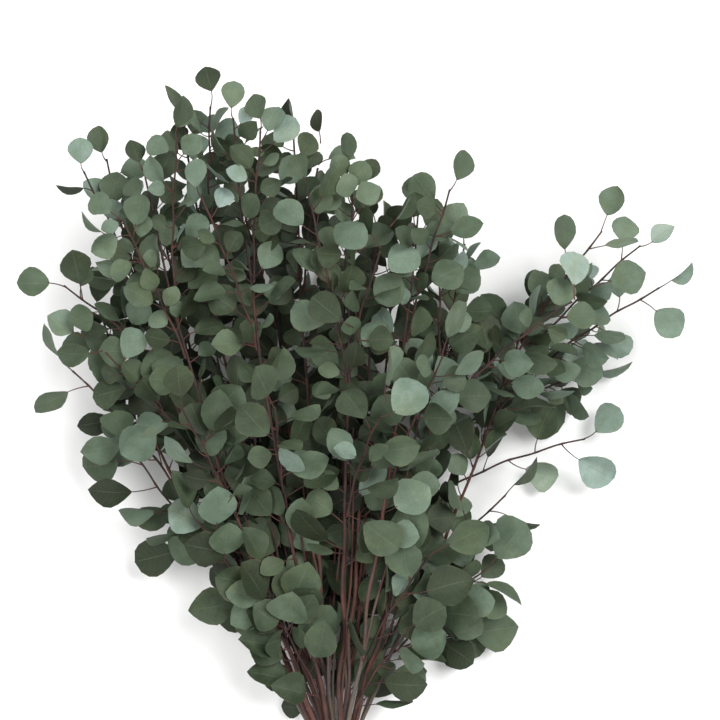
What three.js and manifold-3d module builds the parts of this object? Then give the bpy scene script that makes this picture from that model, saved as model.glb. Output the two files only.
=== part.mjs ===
// A lying bunch of dried round-leaved eucalyptus, held by a rubber band near its cut ends.
// Millimetres. X runs across the bunch, Y along it from the cut ends to the tips,
// and Z up from the surface it lies on.
import * as THREE from 'three';
import Module from 'manifold-3d';

// the whole bunch
const bunchLength = 785; // cut ends to the furthest leaves
const bunchWidth = 680; // left leaves to right leaves
const bunchHeight = 235; // surface to the highest leaves
const tieSetback = 80; // cut ends to the rubber band
const fanRadius = 36; // how softly the branches turn outwards above the band
const sag = 0.22; // share of their rise that the branches lose towards the tips
const straightening = 0.35; // share of their sideways spread that they lose there

// woody parts
const buttDiameter = 5.2; // branch at its cut end
const tipDiameter = 1.8; // branch at its tip
const twigDiameter = 2.4; // side shoot where it leaves its branch
const twigTipDiameter = 1.8;
const stalkDiameter = 1.2; // leaf stalk
const zigzag = 1.6; // sideways step of a twig at each leaf
const cutUnevenness = 12; // spread of the cut ends along the bunch
const buttOpening = 0.12; // share by which the branches stand further apart at the cut ends than in the band
const bareRingSpacing = 45; // between rings on the bare part of a branch
const shootBend = 0.65; // share of its branch's direction with which a side shoot sets off
const shootCurve = 0.3; // share of its length over which it turns to its own direction
const shootTries = 60; // times its end is moved when its way is taken
const shootStep = 0.9; // and how much further each time
const branchSides = 5; // faces round a branch
const twigSides = 4;

// leaves
const lowestLeafLength = 46; // blade of the leaves nearest the band
const highestLeafLength = 28; // blade of the leaves at the tips
const leafWidthShare = 0.95; // blade width over blade length
const leafThickness = 0.9; // at the middle of the blade
const stalkShare = 0.48; // stalk length over blade length
const foliageStart = 196; // band to the lowest leaves on any branch
const lowestLeafSpacing = 52; // between leaves along a branch, next to the band
const highestLeafSpacing = 32; // and at its tip
const shootLeafSpacing = 27;
const branchLeafSeats = [0.12, 0.62]; // where leaves stand, in shares of each part between two rings
const shootLeafSeats = [0.12];
const endLeafSeat = 0.93; // and the leaf that ends a twig, on its last part
const leafOpening = 68; // widest angle between a twig and a leaf's stalk, in degrees
const endLeafOpening = 25; // the same for the leaf that ends a twig
const openingRange = 30; // how much less it may be
const gentleTilt = 30; // roll of the leaves that face nearly straight up, in degrees
const steepTilt = 82; // largest roll of the others
const gentleShare = 0.52; // share of leaves that face nearly straight up
const deepestFold = 16; // how far the two halves of a blade fold upwards, in degrees
const leafTries = 160; // positions tried for each leaf
const smallerLeaf = 0.82; // size of a leaf that finds no room at first

// rubber band
const bandWidth = 7;
const bandThickness = 1.3;
const bandFacets = 18;

// gaps
const bundleGap = 0.7; // between neighbouring branches inside the band
const jointGap = 0.3; // between a side shoot and its branch, and between the band and the branches
const leafGap = 0.6; // least space kept round every leaf and twig

// Where each branch ends: side in percent of half the width, reach in percent of the length above the band,
// rise in percent of the height, and how much of it is bare of leaves, in percent of its reach.
// Rows are listed from the surface upwards, each from left to right.
const branchRows = [
  [
    { side: -40, reach: 53, rise: 9, bare: 42 },
    { side: -33, reach: 75, rise: 12, bare: 0 },
    { side: 3, reach: 77, rise: 11, bare: 0 },
    { side: 37, reach: 66, rise: 9, bare: 50 },
  ],
  [
    { side: -70, reach: 67, rise: 33, bare: 64 },
    { side: -52, reach: 80, rise: 36, bare: 42 },
    { side: -21, reach: 86, rise: 38, bare: 0 },
    { side: 17, reach: 72, rise: 36, bare: 0 },
    { side: 58, reach: 68, rise: 30, bare: 66 },
  ],
  [
    { side: -67, reach: 89, rise: 54, bare: 46 },
    { side: -44, reach: 94, rise: 58, bare: 36 },
    { side: -12, reach: 92, rise: 62, bare: 38 },
    { side: 12, reach: 80, rise: 60, bare: 42 },
    { side: 38, reach: 77, rise: 54, bare: 46 },
  ],
  [
    { side: -55, reach: 87, rise: 74, bare: 40 },
    { side: -29, reach: 94, rise: 80, bare: 38 },
    { side: 5, reach: 87, rise: 82, bare: 44 },
    { side: 24, reach: 81, rise: 76, bare: 46 },
  ],
];

// Side shoots: the branch they leave (row, place in it), how far along it in percent of its reach,
// where they end, and how many leaf spacings next to the fork are bare.
const sideShoots = [
  // right edge, from the tips down
  { row: 1, place: 4, from: 90, side: 79, reach: 79, rise: 42, bare: 0 },
  { row: 1, place: 4, from: 84, side: 91, reach: 77, rise: 36, bare: 0 },
  { row: 1, place: 4, from: 78, side: 97, reach: 71, rise: 30, bare: 0 },
  { row: 2, place: 4, from: 66, side: 76, reach: 71, rise: 56, bare: 1 },
  { row: 0, place: 3, from: 70, side: 74, reach: 58, rise: 12, bare: 3 },
  { row: 0, place: 3, from: 56, side: 76, reach: 49, rise: 10, bare: 3 },
  { row: 1, place: 4, from: 44, side: 51, reach: 41, rise: 28, bare: 2 },
  { row: 1, place: 4, from: 27, side: 45, reach: 30, rise: 24, bare: 1 },
  { row: 0, place: 3, from: 23, side: 36, reach: 20, rise: 8, bare: 2 },
  // left edge, from the tips down
  { row: 2, place: 0, from: 66, side: -79, reach: 71, rise: 60, bare: 1 },
  { row: 2, place: 0, from: 54, side: -73, reach: 64, rise: 56, bare: 1 },
  { row: 1, place: 0, from: 64, side: -78, reach: 59, rise: 40, bare: 1 },
  { row: 1, place: 0, from: 44, side: -62, reach: 48, rise: 30, bare: 1 },
  { row: 2, place: 0, from: 25, side: -40, reach: 37, rise: 40, bare: 1 },
  // upper end
  { row: 2, place: 0, from: 80, side: -73, reach: 87, rise: 62, bare: 0 },
  { row: 3, place: 0, from: 70, side: -61, reach: 80, rise: 78, bare: 0 },
  { row: 3, place: 0, from: 78, side: -45, reach: 91, rise: 84, bare: 0 },
  { row: 2, place: 1, from: 76, side: -36, reach: 96, rise: 66, bare: 0 },
  { row: 3, place: 1, from: 66, side: -38, reach: 83, rise: 86, bare: 0 },
  { row: 3, place: 1, from: 76, side: -21, reach: 92, rise: 86, bare: 0 },
  { row: 2, place: 2, from: 76, side: -4, reach: 91, rise: 65, bare: 0 },
  { row: 1, place: 2, from: 76, side: -30, reach: 86, rise: 42, bare: 0 },
  { row: 3, place: 2, from: 66, side: -8, reach: 84, rise: 88, bare: 0 },
  { row: 3, place: 2, from: 70, side: 16, reach: 79, rise: 88, bare: 0 },
  { row: 3, place: 3, from: 78, side: 33, reach: 84, rise: 84, bare: 1 },
  { row: 2, place: 4, from: 74, side: 30, reach: 77, rise: 62, bare: 0 },
  // upper side, over the stems
  { row: 3, place: 0, from: 14, side: -21, reach: 30, rise: 36, bare: 0 },
  { row: 3, place: 1, from: 12, side: -18, reach: 24, rise: 36, bare: 0 },
  { row: 3, place: 3, from: 20, side: 29, reach: 33, rise: 40, bare: 0 },
  { row: 3, place: 3, from: 12, side: 21, reach: 21, rise: 32, bare: 0 },
  { row: 3, place: 0, from: 44, side: -44, reach: 54, rise: 74, bare: 0 },
  { row: 3, place: 1, from: 40, side: -17, reach: 54, rise: 82, bare: 0 },
  { row: 3, place: 2, from: 44, side: 15, reach: 55, rise: 84, bare: 0 },
  { row: 3, place: 3, from: 52, side: 31, reach: 61, rise: 76, bare: 0 },
];

const wasm = await Module();
wasm.setup();

const up = new THREE.Vector3(0, 0, 1);
const reachAboveBand = bunchLength - tieSetback;
const bandHeight = bandThickness + jointGap + buttDiameter / 2; // lowest branches' axes at the band

// repeatable variation, one series for each seed
function seeded(seed) {
  let state = (seed * 2654435761) >>> 0;
  return () => {
    state = (state + 0x6d2b79f5) >>> 0;
    let mixed = Math.imul(state ^ (state >>> 15), 1 | state);
    mixed = (mixed + Math.imul(mixed ^ (mixed >>> 7), 61 | mixed)) ^ mixed;
    return ((mixed ^ (mixed >>> 14)) >>> 0) / 4294967296;
  };
}

const between = (low, high, share) => low + (high - low) * share;
const degrees = (angle) => (angle * Math.PI) / 180;

// Things already in place. Each is a convex set of points with a radius round it:
// a length of twig, a stalk or a blade.
const placed = [];

function shape(points, radius, owner) {
  const centre = new THREE.Vector3();
  points.forEach((point) => centre.addScaledVector(point, 1 / points.length));
  const size = Math.max(...points.map((point) => point.distanceTo(centre)));
  return { points, radius, owner, centre, size };
}

function furthest(points, direction, sign) {
  let best = points[0];
  let most = -Infinity;
  for (const point of points) {
    const along = sign * point.dot(direction);
    if (along > most) {
      most = along;
      best = point;
    }
  }
  return best;
}

// true when two shapes keep at least the gap between them: closes in on the shortest line from one to the other
function apart(first, second, gap) {
  const needed = first.radius + second.radius + gap;
  if (first.centre.distanceTo(second.centre) > first.size + second.size + needed) return true;
  const line = first.centre.clone().sub(second.centre);
  for (let step = 0; step < 60; step++) {
    const near = furthest(first.points, line, -1).clone().sub(furthest(second.points, line, 1));
    const length = line.length();
    if (length < needed) return false;
    if (line.dot(near) / length >= needed) return true;
    const chord = near.sub(line);
    line.addScaledVector(chord, Math.min(1, Math.max(0, -line.dot(chord) / chord.lengthSq())));
  }
  return false;
}

const clear = (candidate, gap, ignoredOwner) =>
  placed.every((other) => (ignoredOwner && other.owner === ignoredOwner) || apart(candidate, other, gap));

// ---- branches ----

// how far branches have turned outwards at a distance above the band, the same curve for all so that none cross
const fan = (distance) => Math.sqrt(distance * distance + fanRadius * fanRadius) - fanRadius;
const spread = (distance) => fan(distance) * (1 - (straightening * distance) / reachAboveBand);
const lift = (distance) => fan(distance) * (1 - (sag * distance) / reachAboveBand);

function branchAxis(row, place, target) {
  const rowLength = branchRows[row].length;
  const pitch = buttDiameter + bundleGap;
  const slot = { x: (place - (rowLength - 1) / 2) * pitch, z: bandHeight + row * pitch };
  const bundleMiddle = bandHeight + ((branchRows.length - 1) * pitch) / 2;
  const length = (target.reach / 100) * reachAboveBand;
  const sideways = ((target.side / 100) * bunchWidth) / 2 - slot.x;
  const upwards = (target.rise / 100) * bunchHeight - slot.z;
  const random = seeded(100 * row + place + 7);
  const at = (distance) => {
    if (distance < 0) {
      const flare = 1 - (buttOpening * distance) / tieSetback;
      return new THREE.Vector3(slot.x * flare, distance, bundleMiddle + (slot.z - bundleMiddle) * flare);
    }
    return new THREE.Vector3(
      slot.x + (sideways * spread(distance)) / spread(length),
      distance,
      slot.z + (upwards * lift(distance)) / lift(length),
    );
  };
  const butt = -tieSetback + cutUnevenness * random();
  const bandEdge = bandWidth / 2 + 1;
  const distances = [butt, -bandEdge, bandEdge];
  const bare = Math.max(foliageStart, (target.bare / 100) * length);
  const leafy = bare + lowestLeafSpacing * (random() - 1);
  const turns = Math.ceil(leafy / bareRingSpacing);
  for (let turn = 1; turn < turns; turn++) distances.push(between(bandEdge, leafy, turn / turns));
  const firstLeafy = distances.length;
  const leafSpacing = (distance) => between(lowestLeafSpacing, highestLeafSpacing, distance / reachAboveBand);
  for (let next = leafy; next < length - highestLeafSpacing; next += 2 * leafSpacing(next)) {
    distances.push(next);
  }
  distances.push(length);
  const points = distances.map(at);
  for (let node = firstLeafy + 1; node < points.length - 1; node++) {
    points[node].x += (node % 2 ? 0.5 : -0.5) * zigzag;
  }
  const radii = points.map((point) => {
    const grown = THREE.MathUtils.clamp((point.y + tieSetback) / (length + tieSetback), 0, 1);
    return between(buttDiameter, tipDiameter, grown) / 2;
  });
  return { at, points, radii, firstLeafy, leafSeats: branchLeafSeats, length, sides: branchSides };
}

function occupy(axis) {
  axis.shapes = [];
  for (let part = 1; part < axis.points.length; part++) {
    const radius = Math.max(axis.radii[part - 1], axis.radii[part]);
    axis.shapes.push(shape([axis.points[part - 1], axis.points[part]], radius, axis));
  }
  placed.push(...axis.shapes);
}

const branches = branchRows.map((targets, row) =>
  targets.map((target, place) => branchAxis(row, place, target)),
);
branches.flat().forEach(occupy);

// ---- side shoots ----

// the spot on a branch at a distance above the band
function spotOn(branch, distance) {
  const part = branch.points.findIndex((point) => point.y > distance);
  const [before, after] = [branch.points[part - 1], branch.points[part]];
  return {
    point: before.clone().lerp(after, (distance - before.y) / (after.y - before.y)),
    along: after.clone().sub(before).normalize(),
    radius: Math.max(branch.radii[part - 1], branch.radii[part]),
  };
}

// a twig from the side of a branch to its end, which moves a little until the twig is clear of everything
function shootAxis(shoot, index) {
  const branch = branches[shoot.row][shoot.place];
  const fork = spotOn(branch, (shoot.from / 100) * branch.length);
  const end = new THREE.Vector3(
    ((shoot.side / 100) * bunchWidth) / 2,
    (shoot.reach / 100) * reachAboveBand,
    (shoot.rise / 100) * bunchHeight,
  );
  const random = seeded(5000 + index);
  for (let attempt = 0; ; attempt++) {
    const swing = attempt * shootStep;
    const goal = end.clone().add(
      new THREE.Vector3(random() - 0.5, random() - 0.5, random() - 0.5).multiplyScalar(swing),
    );
    goal.z = Math.max(goal.z, twigDiameter);
    const heading = goal.clone().sub(fork.point);
    const length = heading.length();
    heading.normalize();
    const outward = heading.clone().addScaledVector(fork.along, -heading.dot(fork.along)).normalize();
    const start = fork.point.clone().addScaledVector(outward, fork.radius + twigDiameter / 2 + jointGap);
    const bend = heading.clone().lerp(fork.along, shootBend).normalize();
    const count = Math.max(shoot.bare + 2, Math.round(length / shootLeafSpacing));
    const turn = start.clone().addScaledVector(bend, length * shootCurve);
    const curve = new THREE.QuadraticBezierCurve3(start, turn, goal);
    const points = curve.getSpacedPoints(count);
    const across = new THREE.Vector3().crossVectors(heading, up).normalize();
    points.forEach((point, node) => {
      if (node > 0 && node < count) point.addScaledVector(across, (node % 2 ? 0.5 : -0.5) * zigzag);
    });
    const radii = points.map((point, node) => between(twigDiameter, twigTipDiameter, node / count) / 2);
        const pieces = points.slice(1).map((point, node) => shape([points[node], point], radii[node], null));
    const free =
      points.every((point) => point.z > twigDiameter / 2) &&
      pieces.every((piece, node) => clear(piece, leafGap, node === 0 ? branch : null));
    if (free || attempt === shootTries) {
      return { points, radii, firstLeafy: shoot.bare, leafSeats: shootLeafSeats, sides: twigSides };
    }
  }
}

const shoots = sideShoots.map((shoot, index) => {
  const axis = shootAxis(shoot, index);
  occupy(axis);
  return axis;
});

// ---- leaves ----

// outline of a blade in shares of its length and width, from the right of the stalk round the tip to the left
const bladeOutline = [
  [0.27, -0.45],
  [0.66, -0.42],
  [1, 0],
  [0.66, 0.42],
  [0.27, 0.45],
];

function bladePoints(leaf) {
  const { base, heading, normal, length, fold } = leaf;
  const left = new THREE.Vector3().crossVectors(normal, heading);
  const width = length * leafWidthShare;
  const point = (along, across, above) =>
    base.clone().addScaledVector(heading, along).addScaledVector(left, across).addScaledVector(normal, above);
  const half = stalkDiameter * 0.43;
  const rim = bladeOutline.map(([along, across]) =>
    point(along * length, across * width, Math.abs(across) * width * Math.sin(fold)),
  );
  return {
    left,
    baseRight: point(0, -half, 0),
    baseLeft: point(0, half, 0),
    baseTop: point(0, 0, stalkDiameter * 0.55),
    rim,
    middle: point(length * 0.45, 0, leafThickness),
  };
}

// one try at a leaf: the stalk leaves the twig sideways, the blade goes on from it facing mostly upwards
function tryLeaf({ root, twigHeading, atTip }, side, length, attempt, random, onSurface) {
  const widest = atTip ? endLeafOpening : leafOpening;
  const further = attempt > 20 ? between(-20, 40, random()) : 0;
  const opening = degrees(between(widest - openingRange, widest, random()) + further);
  const turn = degrees((random() - 0.5) * (60 + 6 * attempt));
  const sideways = new THREE.Vector3().crossVectors(twigHeading, up).normalize().multiplyScalar(side);
  sideways.applyAxisAngle(twigHeading, turn);
  const stalk = twigHeading.clone().multiplyScalar(Math.cos(opening));
  stalk.addScaledVector(sideways, Math.sin(opening));
  const stalkLength = length * stalkShare * between(0.8, 1.25, random());
  if (onSurface) {
    if (root.z > stalkLength * 0.95) return null;
    stalk.z = 0;
    stalk.setLength(Math.sqrt(stalkLength * stalkLength - root.z * root.z));
    const base = root.clone().add(stalk).setZ(0);
    const heading = stalk.normalize().applyAxisAngle(up, degrees(between(-25, 25, random())));
    return { root, base, heading, normal: up.clone(), length, fold: 0 };
  }
  const base = root.clone().addScaledVector(stalk, stalkLength);
  const heading = stalk.clone().applyAxisAngle(up, degrees(between(-22, 22, random())));
  heading.z = heading.z * 0.6 - between(-0.3, 0.5, random());
  heading.normalize();
  const normal = up.clone().addScaledVector(heading, -heading.z).normalize();
  const [least, most] = random() < gentleShare ? [0, gentleTilt] : [gentleTilt, steepTilt];
  const roll = between(least, most, random()) * (random() < 0.5 ? -1 : 1);
  normal.applyAxisAngle(heading, degrees(roll));
  return { root, base, heading, normal, length, fold: degrees(between(-2, deepestFold, random())) };
}

function growLeaf(seat, side, axis, seed) {
  const { root } = seat;
  const random = seeded(seed);
  const grown = THREE.MathUtils.clamp((root.y - foliageStart) / (reachAboveBand * 0.93 - foliageStart), 0, 1);
  const fullLength = between(lowestLeafLength, highestLeafLength, grown) * between(0.84, 1.1, random());
  const lowTwig = root.z < fullLength * stalkShare * 0.9;
  for (let attempt = 0; attempt < leafTries; attempt++) {
    const length = fullLength * (attempt < leafTries / 2 ? 1 : smallerLeaf);
    const flip = attempt % 5 === 4 ? -side : side;
    const leaf = tryLeaf(seat, flip, length, attempt, random, lowTwig && attempt % 2 === 0);
    if (!leaf) continue;
    const blade = bladePoints(leaf);
    const corners = [blade.baseRight, ...blade.rim, blade.baseLeft, blade.middle];
    if (corners.some((corner) => corner.z < -0.001)) continue;
    const bladeShape = shape(corners, 0, axis);
    if (!clear(bladeShape, leafGap)) continue;
    const stalkShape = shape([root, leaf.base], stalkDiameter / 2, axis);
    if (placed.some((other) => !axis.shapes.includes(other) && !apart(stalkShape, other, leafGap))) continue;
    placed.push(bladeShape, stalkShape);
    return { ...leaf, blade };
  }
  return null;
}

// leaves stand by turns left and right along each part of a twig, and the last one ends it
function growLeaves(axis, seed) {
  axis.leaves = [];
  const last = axis.points.length - 1;
  const seats = [];
  for (let part = axis.firstLeafy; part < last; part++) {
    axis.leafSeats.forEach((share) => seats.push([part, share]));
  }
  seats.push([last - 1, endLeafSeat]);
  seats.forEach(([part, share], place) => {
    const [start, end] = [axis.points[part], axis.points[part + 1]];
    const root = start.clone().lerp(end, share);
    const twigHeading = end.clone().sub(start).normalize();
    const side = place % 2 ? 1 : -1;
    const atTip = place === seats.length - 1;
    const leaf = growLeaf({ root, twigHeading, atTip }, side, axis, seed * 100 + place);
    if (leaf) axis.leaves.push(leaf);
  });
}

// ---- solids ----

function solid(vertices, faces) {
  return new wasm.Manifold(
    new wasm.Mesh({
      numProp: 3,
      vertProperties: new Float32Array(vertices.flatMap((vertex) => vertex.toArray())),
      triVerts: new Uint32Array(faces.flat()),
    }),
  );
}

function tube(axis) {
  const { points, radii, sides } = axis;
  const vertices = [];
  const faces = [];
  const last = points.length - 1;
  points.forEach((point, ring) => {
    const heading = points[Math.min(ring + 1, last)].clone().sub(points[Math.max(ring - 1, 0)]).normalize();
    const across = new THREE.Vector3().crossVectors(heading, up).normalize();
    for (let side = 0; side < sides; side++) {
      const angle = (2 * Math.PI * (side + 0.5)) / sides; // flat faces left and right, where the stalks leave
      const outwards = across.clone().applyAxisAngle(heading, angle);
      vertices.push(point.clone().addScaledVector(outwards, radii[ring]));
    }
  });
  for (let ring = 0; ring < last; ring++) {
    for (let side = 0; side < sides; side++) {
      const next = (side + 1) % sides;
      const [a, b] = [ring * sides + side, ring * sides + next];
      faces.push([a, b, b + sides], [a, b + sides, a + sides]);
    }
  }
  for (let side = 1; side < sides - 1; side++) {
    faces.push([0, side + 1, side], [last * sides, last * sides + side, last * sides + side + 1]);
  }
  return solid(vertices, faces);
}

function leafSolid(leaf) {
  const { root, blade, normal } = leaf;
  const half = stalkDiameter * 0.35;
  const vertices = [
    root.clone().addScaledVector(blade.left, half).addScaledVector(normal, -half / 2),
    root.clone().addScaledVector(normal, half),
    root.clone().addScaledVector(blade.left, -half).addScaledVector(normal, -half / 2),
    blade.baseLeft,
    blade.baseTop,
    blade.baseRight,
    ...blade.rim,
    blade.middle,
  ];
  const faces = [[0, 2, 1]];
  for (let corner = 0; corner < 3; corner++) {
    const next = (corner + 1) % 3;
    faces.push([corner, next, next + 3], [corner, next + 3, corner + 3]);
  }
  // the upper side rises to the middle of the blade, the underside is creased from the stalk to the tip
  const [middle, tip] = [11, 8];
  const edge = [5, 6, 7, 8, 9, 10, 3, 4];
  edge.forEach((vertex, place) => faces.push([middle, vertex, edge[(place + 1) % edge.length]]));
  faces.push([tip, 7, 6], [tip, 6, 5], [tip, 5, 3], [tip, 3, 10], [tip, 10, 9]);
  return solid(vertices, faces);
}

// the rubber band lies tight round the outermost branches
function band() {
  const stems = branches.flat().map((branch) => branch.at(0));
  const outline = (offset) => {
    const reach = [];
    for (let facet = 0; facet < bandFacets; facet++) {
      const angle = (2 * Math.PI * facet) / bandFacets;
      const [x, z] = [Math.cos(angle), Math.sin(angle)];
      const far = Math.max(...stems.map((stem) => stem.x * x + stem.z * z)) + offset;
      reach.push({ x, z, far });
    }
    return reach.map((line, facet) => {
      const next = reach[(facet + 1) % bandFacets];
      const cross = line.x * next.z - line.z * next.x;
      const x = (line.far * next.z - next.far * line.z) / cross;
      const z = (next.far * line.x - line.far * next.x) / cross;
      return [x, z];
    });
  };
  const inner = outline(buttDiameter / 2 + jointGap);
  const outer = outline(buttDiameter / 2 + jointGap + bandThickness);
  const vertices = [];
  for (const y of [-bandWidth / 2, bandWidth / 2]) {
    for (const [x, z] of [...inner, ...outer]) vertices.push(new THREE.Vector3(x, y, z));
  }
  const faces = [];
  for (let facet = 0; facet < bandFacets; facet++) {
    const next = (facet + 1) % bandFacets;
    const ring = (place) => [place * bandFacets + facet, place * bandFacets + next];
    const quad = ([a, b], [c, d]) => faces.push([a, d, b], [a, c, d]);
    quad(ring(0), ring(1)); // front: inner to outer
    quad(ring(1), ring(3)); // outside
    quad(ring(3), ring(2)); // back
    quad(ring(2), ring(0)); // inside
  }
  return solid(vertices, faces);
}

// ---- assembly ----

const colours = { foliage: 0x5f7a62, band: 0xb58b5a };
const bunch = new THREE.Group();
bunch.name = 'dried_eucalyptus_bunch';

function addNode(name, body, colour) {
  const mesh = body.getMesh();
  const geometry = new THREE.BufferGeometry();
  geometry.setAttribute('position', new THREE.BufferAttribute(new Float32Array(mesh.vertProperties), 3));
  geometry.setIndex(new THREE.BufferAttribute(new Uint32Array(mesh.triVerts), 1));
  const node = new THREE.Mesh(geometry, new THREE.MeshStandardMaterial({ color: colour, roughness: 0.7 }));
  node.name = name;
  bunch.add(node);
}

const leafyTwig = (axis) => wasm.Manifold.union([tube(axis), ...axis.leaves.map(leafSolid)]);
const number = (index) => String(index + 1).padStart(2, '0');
branches.flat().forEach((branch, index) => growLeaves(branch, index + 1));
shoots.forEach((shoot, index) => growLeaves(shoot, index + 41));
branches.flat().forEach((branch, index) => {
  addNode(`branch_${number(index)}`, leafyTwig(branch), colours.foliage);
});
shoots.forEach((shoot, index) => {
  addNode(`side_shoot_${number(index)}`, leafyTwig(shoot), colours.foliage);
});
addNode('rubber_band', band(), colours.band);

// the origin sits on the surface under the middle of the bunch
const box = new THREE.Box3().setFromObject(bunch, true);
const middle = box.getCenter(new THREE.Vector3());
bunch.children.forEach((node) => node.geometry.translate(-middle.x, -middle.y, -box.min.z));

export default bunch;
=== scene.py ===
import math
import random

import bmesh
import bpy
from mathutils import Matrix, Vector
from mathutils.bvhtree import BVHTree


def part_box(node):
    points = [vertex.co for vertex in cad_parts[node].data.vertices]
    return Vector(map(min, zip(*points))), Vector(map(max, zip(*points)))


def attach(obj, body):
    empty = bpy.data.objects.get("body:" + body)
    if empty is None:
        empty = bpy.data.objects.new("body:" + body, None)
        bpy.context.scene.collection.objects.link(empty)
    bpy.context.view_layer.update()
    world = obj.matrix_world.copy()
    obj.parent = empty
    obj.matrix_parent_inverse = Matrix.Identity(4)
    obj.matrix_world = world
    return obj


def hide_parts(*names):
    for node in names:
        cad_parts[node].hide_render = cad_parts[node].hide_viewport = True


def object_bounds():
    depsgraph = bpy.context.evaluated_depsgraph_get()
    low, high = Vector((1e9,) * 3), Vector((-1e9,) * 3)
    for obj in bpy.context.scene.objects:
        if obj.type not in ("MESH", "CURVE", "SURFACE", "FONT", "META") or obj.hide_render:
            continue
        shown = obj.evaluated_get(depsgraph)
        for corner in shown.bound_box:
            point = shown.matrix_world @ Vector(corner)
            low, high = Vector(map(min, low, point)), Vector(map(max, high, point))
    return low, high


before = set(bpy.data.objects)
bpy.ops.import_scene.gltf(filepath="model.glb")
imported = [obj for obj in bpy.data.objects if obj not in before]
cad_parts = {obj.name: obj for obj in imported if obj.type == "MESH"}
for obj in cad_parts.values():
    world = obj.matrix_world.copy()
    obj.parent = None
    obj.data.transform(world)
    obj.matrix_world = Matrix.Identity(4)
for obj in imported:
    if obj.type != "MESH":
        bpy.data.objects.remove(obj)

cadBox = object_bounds()
up = Vector((0, 0, 1))
mm = 0.001
bpy.ops.object.select_all(action="DESELECT")
bandLow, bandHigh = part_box("rubber_band")
bandMiddle = (bandLow + bandHigh) / 2


def mix(low, high, share):
    return low + (high - low) * share


def makeActive(obj):
    bpy.ops.object.select_all(action="DESELECT")
    obj.select_set(True)
    bpy.context.view_layer.objects.active = obj


# materials
leafLook = {
    "greens": [  # from the darkest green to the bluest, with a blue bloom; besides each leaf's own colour, the dark end gives painted shade low in the bunch and in its heart, the pale end painted light at the outer edges and on the right
        (0.0, (0.008, 0.012, 0.005)),
        (0.3, (0.025, 0.038, 0.017)),
        (0.55, (0.064, 0.095, 0.055)),
        (0.8, (0.130, 0.184, 0.136)),
        (1.0, (0.235, 0.310, 0.280)),
    ],
    "rib": (0.17, 0.20, 0.115),
    "olive": (1.25, 1.02, 0.62),  # what the yellower patches are multiplied by
    "rim": (0.16, 0.105, 0.06),
    "bloom": (0.19, 0.235, 0.19),
    "blotchScale": 70.0,
    "blotchSpread": 0.34,  # how much lighter or darker the blotches are, as a share of the greens
    "speckleScale": 620.0,
    "patchScale": 17.0,
    "patchStrength": 0.3,
    "sideVeins": 8,
    "veinSlant": -1.7,
    "veinStrength": 0.08,
    "ribStrength": 0.17,
    "rimStrength": 0.28,
    "undersideBloom": 0.25,
    "roughness": 0.66,
}
barkLook = {
    "browns": [  # thin twigs, then red-brown, grey-brown and tan stems
        (0.0, (0.021, 0.015, 0.014)),
        (0.3, (0.098, 0.037, 0.028)),
        (0.6, (0.092, 0.076, 0.066)),
        (1.0, (0.200, 0.140, 0.085)),
    ],
    "cutWood": (0.50, 0.38, 0.23),
    "stretch": 0.16,  # streaks run along the stems
    "streakScale": 900.0,
    "patchScale": 45.0,
    "roughness": 0.72,
}
bandLook = {
    "tan": (0.46, 0.27, 0.12),
    "dark": (0.34, 0.18, 0.075),
    "cloudScale": 160.0,
    "creaseScale": 1400.0,
    "roughness": 0.5,
}
sheen = 0.35  # specular level of every material


def newMaterial(name, roughness):
    material = bpy.data.materials.new(name)
    material.use_nodes = True
    tree = material.node_tree
    shader = tree.nodes["Principled BSDF"]
    shader.inputs["Roughness"].default_value = roughness
    shader.inputs["Specular IOR Level"].default_value = sheen
    return material, tree, shader


def node(tree, kind, **settings):
    made = tree.nodes.new(kind)
    for key, value in settings.items():
        setattr(made, key, value)
    return made


def maths(tree, operation, first, second=None, third=None):
    made = node(tree, "ShaderNodeMath", operation=operation)
    for place, value in enumerate((first, second, third)):
        if value is None:
            continue
        if isinstance(value, (int, float)):
            made.inputs[place].default_value = value
        else:
            tree.links.new(value, made.inputs[place])
    return made.outputs[0]


def blend(tree, factor, first, second, mode="MIX"):
    made = node(tree, "ShaderNodeMix", data_type="RGBA", blend_type=mode)
    for place, value in ((0, factor), (6, first), (7, second)):
        if isinstance(value, (int, float)):
            made.inputs[place].default_value = value
        elif isinstance(value, tuple):
            made.inputs[place].default_value = (*value, 1)
        else:
            tree.links.new(value, made.inputs[place])
    return made.outputs[2]


def ramp(tree, value, stops):
    made = node(tree, "ShaderNodeValToRGB")
    band = made.color_ramp
    while len(band.elements) < len(stops):
        band.elements.new(0.5)
    for element, (place, colour) in zip(band.elements, stops):
        element.position = place
        element.color = (*colour, 1)
    tree.links.new(value, made.inputs[0])
    return made.outputs[0]


def fade(tree, value, start, end):  # 0 at start, 1 at end, soft between
    made = node(tree, "ShaderNodeMapRange", interpolation_type="SMOOTHSTEP")
    tree.links.new(value, made.inputs["Value"])
    made.inputs["From Min"].default_value = start
    made.inputs["From Max"].default_value = end
    return made.outputs["Result"]


def noise(tree, place, scale, detail=3.0, rough=0.55):
    made = node(tree, "ShaderNodeTexNoise")
    tree.links.new(place, made.inputs["Vector"])
    made.inputs["Scale"].default_value = scale
    made.inputs["Detail"].default_value = detail
    made.inputs["Roughness"].default_value = rough
    return made.outputs[0]


def greyOf(tree, value):
    made = node(tree, "ShaderNodeCombineColor")
    for socket in made.inputs[:3]:
        tree.links.new(value, socket)
    return made.outputs[0]


def bump(tree, shader, height, strength, distance):
    made = node(tree, "ShaderNodeBump")
    made.inputs["Strength"].default_value = strength
    made.inputs["Distance"].default_value = distance
    tree.links.new(height, made.inputs["Height"])
    tree.links.new(made.outputs[0], shader.inputs["Normal"])


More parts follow.
